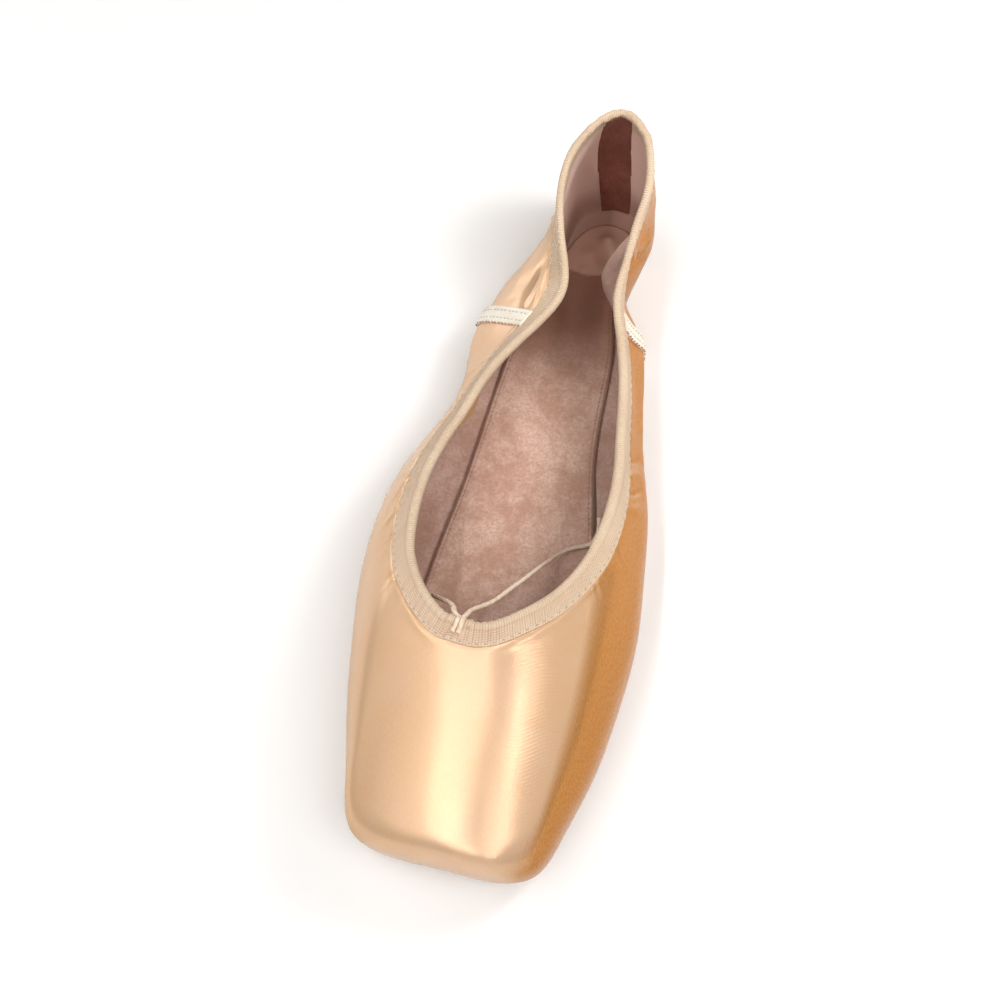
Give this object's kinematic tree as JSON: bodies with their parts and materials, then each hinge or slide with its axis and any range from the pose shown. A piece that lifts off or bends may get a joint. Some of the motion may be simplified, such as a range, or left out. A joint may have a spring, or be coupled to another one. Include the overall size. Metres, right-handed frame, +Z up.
{
  "type": "pointe shoe",
  "caption": "Satin pointe shoe with a hard square toe box, a rounded open throat edged in gathered tape, a narrow heel and a thin flat sole.",
  "frame": {"origin": "on the floor plane, under the middle of the shoe's bounding box", "axes": "+Z up, the toe towards -Y and the heel towards +Y, +X the side with the deeper arch"},
  "size_m": [0.0868, 0.2352, 0.06],
  "materials": {
    "sole_leather": "buffed, matt",
    "satin": "satin",
    "suede": "napped, matt",
    "cotton_tape": "fine ribbed, matt",
    "seam_tape": "woven, matt",
    "cord": "braided, matt"
  },
  "bodies": {
    "root": {"outsole": "sole_leather", "upper": "satin", "insole": "suede", "binding": "cotton_tape", "seam_tape_left": "seam_tape", "seam_tape_right": "seam_tape", "drawstring_end_left": "cord", "drawstring_end_right": "cord"}
  },
  "joints": []
}
